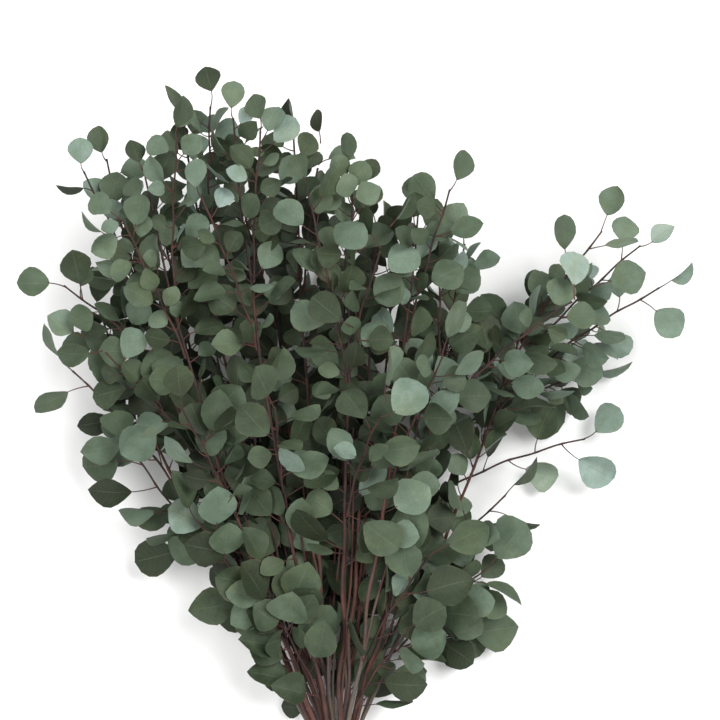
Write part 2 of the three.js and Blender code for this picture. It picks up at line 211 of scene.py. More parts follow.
def leafMaterial():
    look = leafLook
    material, tree, shader = newMaterial("dried leaf", look["roughness"])
    place = node(tree, "ShaderNodeTexCoord").outputs["Object"]
    tone = node(tree, "ShaderNodeAttribute", attribute_name="tone").outputs["Fac"]
    under = node(tree, "ShaderNodeAttribute", attribute_name="under").outputs["Fac"]
    chart = node(tree, "ShaderNodeUVMap", uv_map="leafMap").outputs[0]
    split = node(tree, "ShaderNodeSeparateXYZ")
    tree.links.new(chart, split.inputs[0])
    across = maths(tree, "ABSOLUTE", maths(tree, "MULTIPLY_ADD", split.outputs[0], 2.0, -1.0))
    along = split.outputs[1]
    blotch = noise(tree, place, look["blotchScale"], 4.0, 0.6)
    fine = noise(tree, place, look["speckleScale"], 3.0, 0.65)
    spread = look["blotchSpread"]
    # the tone holds painted light and shade for the leaf's place in the bunch as well as the leaf's own
    # colour
    shifted = maths(tree, "ADD", tone, maths(tree, "MULTIPLY_ADD", blotch, spread, -spread / 2))
    green = ramp(tree, shifted, look["greens"])
    green = blend(tree, maths(tree, "MULTIPLY", under, look["undersideBloom"]), green, look["bloom"])
    warm = fade(tree, noise(tree, place, look["patchScale"], 2.0), 0.45, 0.68)
    olive = blend(tree, 1.0, green, look["olive"], "MULTIPLY")
    green = blend(tree, maths(tree, "MULTIPLY", warm, look["patchStrength"]), green, olive)
    speckle = maths(tree, "MULTIPLY_ADD", fine, 0.5, 0.76)
    green = blend(tree, 1.0, green, greyOf(tree, speckle), "MULTIPLY")
    # side veins leave the midrib slanting towards the tip
    rows = maths(tree, "MULTIPLY", along, look["sideVeins"])
    slant = maths(tree, "MULTIPLY_ADD", across, look["veinSlant"], rows)
    comb = maths(tree, "PINGPONG", slant, 0.5)
    vein = maths(tree, "SUBTRACT", 1.0, fade(tree, comb, 0.0, 0.085))
    vein = maths(tree, "MULTIPLY", vein, maths(tree, "SUBTRACT", 1.0, fade(tree, across, 0.55, 0.95)))
    rib = maths(tree, "SUBTRACT", 1.0, fade(tree, across, 0.012, 0.055))
    green = blend(tree, maths(tree, "MULTIPLY", vein, look["veinStrength"]), green, look["rib"])
    green = blend(tree, maths(tree, "MULTIPLY", rib, look["ribStrength"]), green, look["rib"])
    edge = maths(tree, "MULTIPLY", fade(tree, across, 0.90, 1.0), fade(tree, blotch, 0.42, 0.62))
    green = blend(tree, maths(tree, "MULTIPLY", edge, look["rimStrength"]), green, look["rim"])
    tree.links.new(green, shader.inputs["Base Color"])
    relief = maths(tree, "ADD", maths(tree, "MULTIPLY", vein, 0.35), maths(tree, "MULTIPLY", rib, 0.9))
    relief = maths(tree, "ADD", relief, maths(tree, "MULTIPLY", fine, 0.7))
    bump(tree, shader, maths(tree, "ADD", relief, blotch), 0.45, 0.0005)
    return material


def barkMaterial():
    look = barkLook
    material, tree, shader = newMaterial("bark", look["roughness"])
    place = node(tree, "ShaderNodeTexCoord").outputs["Object"]
    stretch = node(tree, "ShaderNodeMapping")
    stretch.inputs["Scale"].default_value = (1.0, look["stretch"], 1.0)
    tree.links.new(place, stretch.inputs[0])
    tone = node(tree, "ShaderNodeAttribute", attribute_name="tone").outputs["Fac"]
    cut = node(tree, "ShaderNodeAttribute", attribute_name="cut").outputs["Fac"]
    streak = noise(tree, stretch.outputs[0], look["streakScale"], 4.0, 0.6)
    patch = noise(tree, place, look["patchScale"], 3.0)
    shifted = maths(tree, "ADD", tone, maths(tree, "MULTIPLY_ADD", patch, 0.5, -0.25))
    brown = ramp(tree, shifted, look["browns"])
    shade = maths(tree, "MULTIPLY_ADD", streak, 1.1, 0.45)
    brown = blend(tree, 1.0, brown, greyOf(tree, shade), "MULTIPLY")
    brown = blend(tree, cut, brown, look["cutWood"])
    tree.links.new(brown, shader.inputs["Base Color"])
    bump(tree, shader, maths(tree, "ADD", streak, patch), 0.5, 0.0005)
    return material


def bandMaterial():
    look = bandLook
    material, tree, shader = newMaterial("rubber", look["roughness"])
    place = node(tree, "ShaderNodeTexCoord").outputs["Object"]
    cloud = noise(tree, place, look["cloudScale"], 3.0)
    crease = noise(tree, place, look["creaseScale"], 2.0)
    tan = blend(tree, cloud, look["dark"], look["tan"])
    tree.links.new(tan, shader.inputs["Base Color"])
    bump(tree, shader, maths(tree, "ADD", crease, maths(tree, "MULTIPLY", cloud, 2.0)), 0.35, 0.0003)
    return material


leafSkin = leafMaterial()
bark = barkMaterial()
rubber = bandMaterial()
print("materials made")


# reading from the CAD model where each twig runs and where each leaf sits
reading = {
    "weld": 0.004 * mm,
    "neck": 1.2 * mm,  # between the three corners where a stalk meets its blade
    "shortestBlade": 15 * mm,
    "middle": 0.45,  # where the blade's middle corner lies along it
    "slack": 0.006,
    "leastWidth": 0.35,  # of half a blade, as a share of its length
    "stalk": 0.74 * mm,  # what is nearer to a stalk's line belongs to the stalk
    "ringGap": 2.3 * mm,  # wider gaps along a twig part its rings
}


def ringRound(vert):
    following = {}
    for face in vert.link_faces:
        corner = next(loop for loop in face.loops if loop.vert is vert)
        following[corner.link_loop_next.vert] = corner.link_loop_prev.vert
    ring = [next(iter(following))]
    while len(ring) < len(following) and ring[-1] in following:
        ring.append(following[ring[-1]])
    return ring


def readSeat(ring, middle):
    for place in range(8):
        top, left, right = ring[place], ring[place - 1], ring[(place + 1) % 8]
        if max((top.co - left.co).length, (top.co - right.co).length) > reading["neck"]:
            continue
        tip = ring[(place + 4) % 8]
        base = (left.co + right.co) / 2
        heading = tip.co - base
        length = heading.length
        if length < reading["shortestBlade"]:
            continue
        heading.normalize()
        across = (left.co - right.co).normalized()
        normal = heading.cross(across).normalized()
        corner = ring[place - 2].co - base
        share = (middle.co - base).dot(heading) / length
        if abs(share - reading["middle"]) > reading["slack"]:
            continue
        if corner.dot(across) < reading["leastWidth"] * length:
            continue
        fold = corner.dot(normal) / corner.dot(across)
        known = set(ring)
        outside = [
            edge.other_vert(vert).co
            for vert in (top, left, right)
            for edge in vert.link_edges
            if edge.other_vert(vert) not in known
        ]
        outside = [co for co in outside if (co - base).length > 2 * mm and (co - tip.co).length > length]
        root = sum(outside, Vector()) / len(outside) if outside else base - heading * length * 0.4
        return {"base": base, "heading": heading, "normal": normal, "length": length, "fold": fold,
                "root": root}
    return None


def readTwig(name):
    mesh = bmesh.new()
    mesh.from_mesh(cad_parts[name].data)
    bmesh.ops.remove_doubles(mesh, verts=mesh.verts, dist=reading["weld"])
    seats, used = [], set()
    for vert in mesh.verts:
        if len(vert.link_faces) != 8:
            continue
        ring = ringRound(vert)
        seat = readSeat(ring, vert) if len(set(ring)) == 8 else None
        if seat:
            seats.append(seat)
            used.update(ring)
            used.add(vert)

    def besideStalk(co):
        for seat in seats:
            line = (seat["root"] - seat["base"]).normalized()
            reach = (co - seat["base"]).dot(line)
            if -mm < reach < (seat["root"] - seat["base"]).length + 5 * mm:
                if (co - seat["base"] - line * reach).length < reading["stalk"]:
                    return True
        return False

    rest = [vert.co.copy() for vert in mesh.verts if vert not in used and not besideStalk(vert.co)]
    tree = BVHTree.FromBMesh(mesh)
    mesh.free()
    if name.startswith("branch"):
        line = Vector((0, 1, 0))
    else:
        first = max(rest, key=lambda co: (co - rest[0]).length)
        second = max(rest, key=lambda co: (co - first).length)
        line = (second - first).normalized()
    rest.sort(key=lambda co: co.dot(line))
    groups = [[rest[0]]]
    for co in rest[1:]:
        if (co - groups[-1][-1]).dot(line) > reading["ringGap"]:
            groups.append([])
        groups[-1].append(co)
    groups = [group for group in groups if len(group) > 2]
    points = [sum(group, Vector()) / len(group) for group in groups]
    radii = [sum((co - point).length for co in group) / len(group) for group, point in zip(groups, points)]
    if radii[0] < radii[-1]:
        points.reverse()
        radii.reverse()
    return {"name": name, "seats": seats, "points": points, "radii": radii, "tree": tree, "parts": []}


twigNames = sorted(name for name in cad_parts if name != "rubber_band")
twigs = [readTwig(name) for name in twigNames]
print("read", len(twigs), "twigs,", sum(len(twig["seats"]) for twig in twigs), "leaves,",
      sum(len(twig["points"]) for twig in twigs), "rings")

# stems and twigs
stemShape = {
    "step": 5 * mm,  # between rings
    "knot": 0.24,  # how far a knot stands out, as a share of the radius
    "scarSpacing": 38 * mm,  # old leaf scars on the bare part
    "unevenness": 0.06,
    "sides": 2,  # bevel resolution: 8 faces round
    "forks": [  # bare twigs that leave one branch low down and grow towards another
        (5, 1), (6, 2), (7, 2), (7, 8), (8, 3), (9, 4), (10, 6), (11, 7), (12, 8), (13, 8), (14, 9),
        (15, 11), (16, 12), (17, 13), (18, 14), (12, 16), (13, 17), (11, 16),
    ],
    "forkStart": (0.018, 0.10),  # above the band
    "forkEnd": (0.26, 0.40),
    "forkLean": (0.32, 0.62),  # how far a fork gets towards the other branch
    "forkLengths": 26,
    "forkRadius": 1.35 * mm,
    "forkSway": 3.2 * mm,
    "sway": 2.4 * mm,  # how far the bare part bends to and fro
    "cutRim": 0.45 * mm,  # bark round the cut end
    "cutDepth": 0.15 * mm,
    "tones": (0.22, 0.34, 0.42, 0.58, 0.72, 0.9),  # one for each stem, red-brown to tan
    "topTone": 0.06,
    "twigTone": 0.10,
    "fadeOver": 0.42,  # the way up to the dark top
}
weld = 0.01 * mm


def smoothPath(points, radii, step):
    ends = [points[0] * 2 - points[1], *points, points[-1] * 2 - points[-2]]
    path, widths = [], []
    for part in range(len(points) - 1):
        a, b, c, d = ends[part:part + 4]
        count = max(2, round((c - b).length / step))
        for inner in range(count):
            t = inner / count
            path.append(
                0.5 * (2 * b + (c - a) * t + (2 * a - 5 * b + 4 * c - d) * t * t
                       + (3 * b - a - 3 * c + d) * t * t * t)
            )
            widths.append(mix(radii[part], radii[part + 1], t))
    return [*path, points[-1].copy()], [*widths, radii[-1]]


def distances(path):
    total = [0.0]
    for before, after in zip(path, path[1:]):
        total.append(total[-1] + (after - before).length)
    return total


def nearest(path, spot):
    return min(range(len(path)), key=lambda place: (path[place] - spot).length)


def paint(mesh, name, values, domain="POINT"):
    layer = mesh.attributes.new(name, "FLOAT", domain)
    layer.data.foreach_set("value", values)


def atLevel(twig, y):  # the spot of a branch at this Y
    path = twig["path"]
    place = next((k for k in range(1, len(path)) if path[k].y > y), len(path) - 1)
    before, after = path[place - 1], path[place]
    return before.lerp(after, min(1, (y - before.y) / max(1e-6, after.y - before.y)))


def addFork(curve, own, other, rng):
    start = bandMiddle.y + mix(*stemShape["forkStart"], rng.random())
    end = bandMiddle.y + mix(*stemShape["forkEnd"], rng.random())
    count = stemShape["forkLengths"]
    line = curve.splines.new("POLY")
    line.points.add(count)
    lean, phase = mix(*stemShape["forkLean"], rng.random()), rng.random() * 6
    for k, point in enumerate(line.points):
        t = k / count
        y = mix(start, end, t)
        spot = atLevel(own, y).lerp(atLevel(other, y), lean * t * (2 - t))
        sway = stemShape["forkSway"] * math.sin(math.pi * min(1, 1.5 * t))
        spot += Vector((math.sin(phase + 7 * t), 0, 0.6 * math.cos(phase + 5 * t))) * sway
        point.co = (*spot, 1)
        point.radius = stemShape["forkRadius"] * (1.1 - 0.5 * t) * (1.18 if k % 5 == 3 else 1)


def spanOf(places):
    low = Vector([min(place[axis] for place in places) for axis in range(3)])
    high = Vector([max(place[axis] for place in places) for axis in range(3)])
    return low, high


def meet(low, high, first, second):
    return all(low[axis] < second[axis] and high[axis] > first[axis] for axis in range(3))


def makeStem(twig, number):
    rng = random.Random(700 + number)
    path, widths = twig["path"], list(twig["widths"])
    knots = set(twig["roots"])
    thick = twig["name"].startswith("branch")
    if thick:
        reach = 60 * mm * rng.random()
        for place, run in enumerate(twig["run"]):
            if run > reach and run < twig["firstLeaf"]:
                knots.add(place)
                reach = run + stemShape["scarSpacing"] * mix(0.6, 1.5, rng.random())
    for place in range(len(path)):
        widths[place] *= 1 + stemShape["unevenness"] * (rng.random() - 0.5)
        if place in knots:
            widths[place] *= 1 + stemShape["knot"]
    curve = bpy.data.curves.new(twig["name"] + " line", "CURVE")
    curve.dimensions = "3D"
    curve.bevel_depth = 1.0
    curve.bevel_resolution = stemShape["sides"]
    curve.use_fill_caps = True
    line = curve.splines.new("POLY")
    line.points.add(len(path) - 1)
    for point, place, width in zip(line.points, path, widths):
        point.co = (*place, 1)
        point.radius = width
    for own, other in stemShape["forks"]:
        if twig["name"] == f"branch_{own:02d}":
            addFork(curve, twig, twigs[other - 1], rng)
    stem = bpy.data.objects.new(twig["name"] + " eucalyptus", curve)
    bpy.context.scene.collection.objects.link(stem)
    makeActive(stem)
    bpy.ops.object.convert(target="MESH")
    stem = bpy.context.object
    bpy.ops.object.mode_set(mode="EDIT")
    bpy.ops.mesh.select_all(action="SELECT")
    bpy.ops.mesh.remove_doubles(threshold=weld)
    bpy.ops.mesh.normals_make_consistent(inside=False)
    bpy.ops.mesh.select_all(action="DESELECT")
    bpy.ops.object.mode_set(mode="OBJECT")
    inner = set()
    if thick:  # the cut end is inset so that its wood shows pale
        for face in stem.data.polygons:
            face.select = len(face.vertices) > 4 and (face.center - path[0]).length < 4 * mm
        bpy.ops.object.mode_set(mode="EDIT")
        bpy.ops.mesh.select_mode(type="FACE")
        bpy.ops.mesh.inset(thickness=stemShape["cutRim"], depth=0)
        bpy.ops.mesh.inset(thickness=stemShape["cutDepth"], depth=-stemShape["cutDepth"])
        bpy.ops.object.mode_set(mode="OBJECT")
        inner = {v for face in stem.data.polygons if face.select for v in face.vertices}
    stemTone = rng.choice(stemShape["tones"])
    tones, cuts = [], []
    for vert in stem.data.vertices:
        climb = min(1, max(0, (vert.co.y - bandMiddle.y) / stemShape["fadeOver"]))
        tones.append(mix(stemTone, stemShape["topTone"], climb ** 0.7) if thick else stemShape["twigTone"])
        cuts.append(1.0 if vert.index in inner else 0.0)
    paint(stem.data, "tone", tones)
    paint(stem.data, "cut", cuts)
    stem.data.materials.clear()
    stem.data.materials.append(bark)
    makeActive(stem)
    bpy.ops.object.shade_smooth_by_angle(angle=math.radians(50))
    twig["stem"] = stem
    spots = [vert.co.copy() for vert in stem.data.vertices]
    twig["wood"] = BVHTree.FromPolygons(spots, [tuple(face.vertices) for face in stem.data.polygons])
    twig["woodBox"] = spanOf(spots)


def bendBare(twig, phase):  # from the band to the lowest leaf
    bottom, top = bandMiddle.y + 0.02, twig["path"][twig["roots"][0]].y
    for spot in twig["path"]:
        share = (spot.y - bottom) / (top - bottom)
        if 0 < share < 1:
            sway = stemShape["sway"] * math.sin(math.pi * share)
            spot += Vector((math.sin(phase + 12 * share), 0, 0.5 * math.cos(phase + 9 * share))) * sway


for number, twig in enumerate(twigs):
    twig["path"], twig["widths"] = smoothPath(twig["points"], twig["radii"], stemShape["step"])
    twig["run"] = distances(twig["path"])
    twig["roots"] = sorted(nearest(twig["path"], seat["root"]) for seat in twig["seats"])
    twig["firstLeaf"] = twig["run"][twig["roots"][0]]
    if twig["name"].startswith("branch"):
        bendBare(twig, 2.4 * number)
for number, twig in enumerate(twigs):
    makeStem(twig, number)
print("stems made")

# leaf shapes, each modelled once
leafGrid = {
    "rows": [0, 0.04, 0.14, 0.29, 0.46, 0.63, 0.79, 0.92, 1],  # along the blade
    "columns": [-1, -0.52, 0, 0.52, 1],
    "thickness": 0.013,  # at the midrib, as a share of the length
}
leafShapes = [  # half width, where the widest place lies, how full the outline is, then how the blade bends
    {"name": "round", "width": 0.465, "lean": 1.16, "full": 0.62,
     "fold": 0.10, "cup": -0.10, "curl": -0.16, "wave": 0.018, "twist": 0.10},
    {"name": "broad", "width": 0.515, "lean": 1.10, "full": 0.60,
     "fold": 0.05, "cup": 0.20, "curl": -0.10, "wave": 0.026, "twist": -0.08},
    {"name": "rhombic", "width": 0.455, "lean": 1.08, "full": 0.80,
     "fold": 0.18, "cup": -0.15, "curl": -0.22, "wave": 0.014, "twist": -0.16},
    {"name": "blunt", "width": 0.46, "lean": 1.45, "full": 0.54,
     "fold": 0.02, "cup": -0.35, "curl": -0.12, "wave": 0.022, "twist": 0.14},
    {"name": "pointed", "width": 0.425, "lean": 0.92, "full": 0.80,
     "fold": 0.22, "cup": 0.05, "curl": -0.30, "wave": 0.020, "twist": 0.20},
    {"name": "folded", "width": 0.425, "lean": 1.12, "full": 0.65,
     "fold": 0.62, "cup": -0.35, "curl": -0.20, "wave": 0.016, "twist": -0.10},
    {"name": "cupped", "width": 0.455, "lean": 1.08, "full": 0.64,
     "fold": 0.00, "cup": 0.75, "curl": 0.16, "wave": 0.020, "twist": 0.05},
    {"name": "curled", "width": 0.43, "lean": 1.12, "full": 0.66,
     "fold": 0.12, "cup": -0.55, "curl": -0.55, "wave": 0.030, "twist": -0.24},
    {"name": "oval", "width": 0.37, "lean": 1.12, "full": 0.64,
     "fold": 0.20, "cup": -0.20, "curl": -0.25, "wave": 0.016, "twist": 0.22},
]


def modelLeaf(shape, number):
    rng = random.Random(90 + number)
    rows, columns = leafGrid["rows"], leafGrid["columns"]
    long, wide = len(rows) - 1, len(columns) - 1
    bpy.ops.object.select_all(action="DESELECT")
    bpy.ops.mesh.primitive_grid_add(x_subdivisions=wide, y_subdivisions=long, size=1)
    leaf = bpy.context.object
    leaf.name = "leaf " + shape["name"]
    mesh = leaf.data
    mesh.uv_layers.active.name = "leafMap"
    grid = [(round((v.co.x + 0.5) * wide), round((v.co.y + 0.5) * long)) for v in mesh.vertices]
    for loop in mesh.loops:
        column, row = grid[loop.vertex_index]
        mesh.uv_layers.active.data[loop.index].uv = (0.5 + columns[column] / 2, rows[row])
    phase, lean = rng.random() * 6, mix(-0.03, 0.03, rng.random())
    for vert, (column, row) in zip(mesh.vertices, grid):
        s, t = columns[column], rows[row]
        uneven = 1 + 0.05 * math.sin(phase + 5 * t + 2 * s)
        x = s * shape["width"] * math.sin(math.pi * t ** shape["lean"]) ** shape["full"] * uneven
        z = shape["fold"] * abs(x) + shape["cup"] * x * x * 1.4
        z += shape["curl"] * max(0, t - 0.2) ** 2
        z += shape["wave"] * abs(s) * math.sin(phase + 9 * t + (2 if s > 0 else 0))
        turn = shape["twist"] * t
        vert.co = (x * math.cos(turn) + lean * math.sin(3.1 * t), t, z + x * math.sin(turn))
    bpy.ops.object.mode_set(mode="EDIT")
    bpy.ops.mesh.select_all(action="SELECT")
    bpy.ops.mesh.duplicate()
    bpy.ops.mesh.flip_normals()
    bpy.ops.object.mode_set(mode="OBJECT")
    for vert in mesh.vertices[len(grid):]:  # the underside, which meets the upper side at the rim
        column, row = grid[vert.index - len(grid)]
        full = (0, 0.9, 1, 0.9, 0)[column] * (0 if row in (0, long) else 1)
        vert.co.z -= leafGrid["thickness"] * full
    paint(mesh, "under", [1.0 if face.normal.z < 0 else 0.0 for face in mesh.polygons], "FACE")
    bpy.ops.object.mode_set(mode="EDIT")
    bpy.ops.mesh.select_all(action="SELECT")
    bpy.ops.mesh.remove_doubles(threshold=0.0005)
    bpy.ops.object.mode_set(mode="OBJECT")
    mesh.materials.append(leafSkin)
    bpy.ops.object.shade_smooth_by_angle(angle=math.radians(70))
    return leaf


def modelStalk():  # five-sided, four lengths, along Z from 0 to 1
    bpy.ops.object.select_all(action="DESELECT")
    bpy.ops.mesh.primitive_circle_add(vertices=5, radius=1, fill_type="NGON")
    stalk = bpy.context.object
    stalk.name = "stalk"
    bpy.ops.object.mode_set(mode="EDIT")
    bpy.ops.mesh.select_all(action="SELECT")
    for _ in range(4):
        bpy.ops.mesh.extrude_region_move(TRANSFORM_OT_translate={"value": (0, 0, 0.25)})
    bpy.ops.mesh.select_all(action="SELECT")
    bpy.ops.mesh.normals_make_consistent(inside=False)
    bpy.ops.object.mode_set(mode="OBJECT")
    stalk.data.materials.append(bark)
    bpy.ops.object.shade_smooth_by_angle(angle=math.radians(80))
    return stalk


leafModels = [modelLeaf(shape, number) for number, shape in enumerate(leafShapes)]
stalkModel = modelStalk()
print("leaf shapes modelled,", len(leafModels[0].data.polygons), "faces each")

# leaves on their twigs
foliage = {
    "common": [0, 0, 0, 1, 1, 2, 2, 3, 3, 4, 5, 6, 7, 8, 8],  # how often each shape turns up
    "spacing": 13 * mm,  # between places for further leaves along a twig
    "tries": 26,
    "clearTries": 14,
    "clearRoll": 2.2,  # degrees more each try
    "longest": 46 * mm,  # next to the band
    "shortest": 27 * mm,  # at the tips
    "stalkRadius": 0.52 * mm,
    "stalkBend": 0.42,
    "clearance": 0.3 * mm,  # under the lowest leaves
    "cell": 5 * mm,
    "laps": [(3, 0.53), (3, 0.53), (6, 0.64)],  # cells looked at each way, share covered that is inside
    "enough": 3.0,  # gap that a leaf must fill to be taken at once
    "least": 0.5,
    "bareUpTo": 0.24,  # above the band, where later laps start on the bare part
    "budLength": 10 * mm,  # the last leaves of a twig are smaller
    "budSize": 0.62,
}
hidden = {  # leaves deep inside, then leaves behind the bare stems
    "spacing": 17 * mm,
    "innerSize": 0.9,
    "innerTries": 14,
    "behindSize": 0.85,
    "behindTries": 40,
    "behindFrom": 0.065,  # above the band
    "behindStems": 14,
    "fanMargin": 8 * mm,
    "mostRise": 5 * mm,
}
habit = {  # how a further leaf sits, each from the first number to the second, angles in degrees
    "size": (0.62, 1.0),
    "opening": (25, 78),  # between twig and stalk
    "round": (-70, 70),  # round the twig
    "stalk": (0.32, 0.58),  # share of the blade's length
    "swing": (-28, 28),
    "dip": (-0.3, 0.5),
    "flatRoll": (-32, 32),
    "steepRoll": (32, 80),
    "fold": (-0.05, 0.25),
}
steepShare = 0.45
leafTone = {  # 0 is the darkest green, 1 the bluest
    "plain": 0.47,
    # partly painted light from the key lamp's side, partly the bluer bloom of the leaves on the right
    "toRight": 0.15,
    # painted light: the outer leaves are lighter, as light reaches them from all sides
    "outward": 0.33,
    # painted shade: lower leaves are darker
    "upward": 0.36,
    "heart": 0.17,  # painted shade: leaves in the heart of the bunch are this much darker
    "heartPlace": (-0.015, 0.47),  # from the band
    "heartReach": 0.24,
    "spread": 0.15,
    "paleShare": 0.10,  # leaves with a strong bloom
    "halfWidth": 0.34,
    "height": 0.24,
}


def seatMatrix(seat, stretch=1.0):
    side = seat["heading"].cross(seat["normal"]).normalized()
    turned = Matrix((side, seat["heading"], seat["normal"])).transposed().to_4x4()
    size = Matrix.Diagonal((seat["length"] * stretch, seat["length"], seat["length"], 1))
    return Matrix.Translation(seat["base"]) @ turned @ size


def toneAt(spot, rng):
    tones = leafTone
    side = (spot.x - bandMiddle.x) / tones["halfWidth"]
    heartX, heartY = tones["heartPlace"]
    heart = Vector((bandMiddle.x + heartX, bandMiddle.y + heartY, spot.z))
    # painted light towards the right and the outer edges, with bluer leaves on the right
    tone = tones["plain"] + tones["toRight"] * side + tones["outward"] * min(1, abs(side)) ** 2
    # painted shade lower down; the random spread is each leaf's own colour
    tone += tones["upward"] * (spot.z / tones["height"] - 0.5) + rng.gauss(0, tones["spread"])
    # painted shade in the heart of the bunch
    tone -= tones["heart"] * max(0, 1 - (spot - heart).length / tones["heartReach"])
    if rng.random() < tones["paleShare"]:
        tone += mix(0.1, 0.3, rng.random())
    return min(1, max(0.03, tone))


def bladePlaces(seat, model, stretch):
    place = seatMatrix(seat, stretch)
    rise = math.sin(max(-0.2, min(0.35, seat["fold"])))
    return [place @ Vector((v.co.x, v.co.y, v.co.z + abs(v.co.x) * rise)) for v in model.data.vertices]


def liftedClear(places):
    low = min(place.z for place in places)
    if low < foliage["clearance"]:
        places = [place + up * (foliage["clearance"] - low) for place in places]
    return places


def addLeaf(twig, seat, model, places, rng):
    leaf = model.copy()
    leaf.data = model.data.copy()
    bpy.context.scene.collection.objects.link(leaf)
    leaf.data.vertices.foreach_set("co", [value for place in places for value in place])
    # tone: the leaf's own colour with painted light and shade for its place in the bunch
    paint(leaf.data, "tone", [toneAt(seat["base"], rng)] * len(places))
    twig["parts"].append(leaf)
    stalk = stalkModel.copy()
    stalk.data = stalkModel.data.copy()
    bpy.context.scene.collection.objects.link(stalk)
    lift = places[0].z - (seatMatrix(seat) @ model.data.vertices[0].co).z
    end = seat["base"] + seat["heading"] * seat["length"] * 0.05 + up * (lift + 0.15 * mm)
    start = seat["root"] - (seat["base"] - seat["root"]).normalized() * 0.8 * mm
    span = (end - start).length
    bend = seat["base"] - seat["heading"] * span * foliage["stalkBend"]
    for vert in stalk.data.vertices:
        t = vert.co.z
        middle = start * (1 - t) ** 2 + bend * 2 * t * (1 - t) + end * t * t
        ahead = ((bend - start) * (1 - t) + (end - bend) * t).normalized()
        side = ahead.cross(up)
        side = side.normalized() if side.length > 0.05 else Vector((1, 0, 0))
        over = side.cross(ahead).normalized()
        radius = foliage["stalkRadius"] * (1.45 - 0.9 * t + 0.45 * t * t)
        spot = middle + (side * vert.co.x + over * vert.co.y) * radius
        vert.co = Vector((spot.x, spot.y, max(spot.z, 0.1 * mm)))
    paint(stalk.data, "tone", [mix(0.06, 0.22, rng.random())] * len(stalk.data.vertices))
    twig["parts"].append(stalk)


# covered cells seen from above, so that further leaves fill the gaps between the others
covered = set()


def cellOf(place):
    return (math.floor(place.x / foliage["cell"]), math.floor(place.y / foliage["cell"]))


def shadowCells(places):
    cells = {cellOf(place) for place in places}
    middle = sum(places, Vector()) / len(places)
    cells |= {cellOf((place + middle) / 2) for place in places}
    cells |= {cellOf(place * 0.75 + middle * 0.25) for place in places}
    return cells


def closeness(cell, reach):  # share of the cells round this one that are covered
    around = range(-reach, reach + 1)
    return sum((cell[0] + dx, cell[1] + dy) in covered for dx in around for dy in around) / len(around) ** 2


leafFaces = [[tuple(face.vertices) for face in model.data.polygons] for model in leafModels]


def hitsWood(tree, low, high):  # whether a blade cuts a stem or a twig
    return any(meet(low, high, *twig["woodBox"]) and tree.overlap(twig["wood"]) for twig in twigs)


count = 0
for number, twig in enumerate(twigs):
    rng = random.Random(1300 + number)
    for seat in twig["seats"]:
        # another shape or a little more roll until the blade is clear of the wood
        for attempt in range(foliage["clearTries"]):
            kind = rng.choice(foliage["common"])
            stretch = mix(0.94, 1.06, rng.random())
            roll = math.radians(foliage["clearRoll"] * attempt) * rng.choice((-1, 1))
            rolled = {**seat, "normal": Matrix.Rotation(roll, 3, seat["heading"]) @ seat["normal"]}
            places = liftedClear(bladePlaces(rolled, leafModels[kind], stretch))
            if not hitsWood(BVHTree.FromPolygons(places, leafFaces[kind]), *spanOf(places)):
                break
        covered |= shadowCells(places)
        addLeaf(twig, seat, leafModels[kind], places, rng)
        count += 1
print(count, "leaves placed where the CAD model has them")


def alongTwig(twig, run):
    place = max(1, min(len(twig["run"]) - 1, sum(1 for value in twig["run"] if value < run)))
    before, after = twig["path"][place - 1], twig["path"][place]
    share = (run - twig["run"][place - 1]) / max(1e-6, twig["run"][place] - twig["run"][place - 1])
    return before.lerp(after, share), (after - before).normalized(), twig["widths"][place]


def drawn(key, rng):
    return mix(*habit[key], rng.random())


def trySeat(twig, run, side, rng, young):
    root, ahead, width = alongTwig(twig, run)
    grown = min(1, max(0, (root.y - bandMiddle.y - 0.196) / 0.46))
    length = mix(foliage["longest"], foliage["shortest"], grown) * drawn("size", rng) * young
    opening = math.radians(drawn("opening", rng))
    sideways = ahead.cross(up).normalized() * side
    sideways.rotate(Matrix.Rotation(math.radians(drawn("round", rng)), 3, ahead))
    stalk = ahead * math.cos(opening) + sideways * math.sin(opening)
    base = root + stalk * length * drawn("stalk", rng)
    heading = stalk.copy()
    heading.rotate(Matrix.Rotation(math.radians(drawn("swing", rng)), 3, up))
    heading.z = heading.z * 0.6 - drawn("dip", rng)
    heading.normalize()
    normal = (up - heading * heading.z).normalized()
    roll = drawn("flatRoll", rng)
    if rng.random() < steepShare:
        roll = drawn("steepRoll", rng) * rng.choice((-1, 1))
    normal.rotate(Matrix.Rotation(math.radians(roll), 3, heading))
    return {"base": base, "heading": heading, "normal": normal, "length": length,
            "fold": drawn("fold", rng), "root": root + stalk * width * 0.6}


boxes = [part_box(twig["name"]) for twig in twigs]
further = []


def stalkHits(seat, tree):
    span = (seat["base"] - seat["root"]).length
    bend = seat["base"] - seat["heading"] * span * foliage["stalkBend"]
    for start, end in ((seat["root"].lerp(bend, 0.4), bend), (bend, seat["base"])):
        way = end - start
        if tree.ray_cast(start, way.normalized(), way.length * 0.95)[0]:
            return True
    return False


def isFree(places, kind, seat):
    low, high = spanOf([*places, seat["root"]])
    if low.z < 0.4 * mm or high.z > cadBox[1].z:
        return None
    if low.x < cadBox[0].x or high.x > cadBox[1].x or high.y > cadBox[1].y:
        return None
    tree = BVHTree.FromPolygons(places, leafFaces[kind])
    if hitsWood(tree, low, high):
        return None
    for twig, (first, second) in zip(twigs, boxes):
        if meet(low, high, first, second):
            if tree.overlap(twig["tree"]) or stalkHits(seat, twig["tree"]):
                return None
    for first, second, other, otherSeat in further:
        if meet(low, high, first, second):
            if tree.overlap(other) or stalkHits(seat, other) or stalkHits(otherSeat, tree):
                return None
    return low, high, tree, seat


def drawLeaf(twig, run, side, rng, young):
    seat = trySeat(twig, run, side, rng, young)
    kind = rng.choice(foliage["common"])
    return seat, kind, bladePlaces(seat, leafModels[kind], 1.0)


def grow(twig, seat, kind, places, free, rng):
    further.append(free)
    covered.update(shadowCells(places))
    addLeaf(twig, seat, leafModels[kind], places, rng)


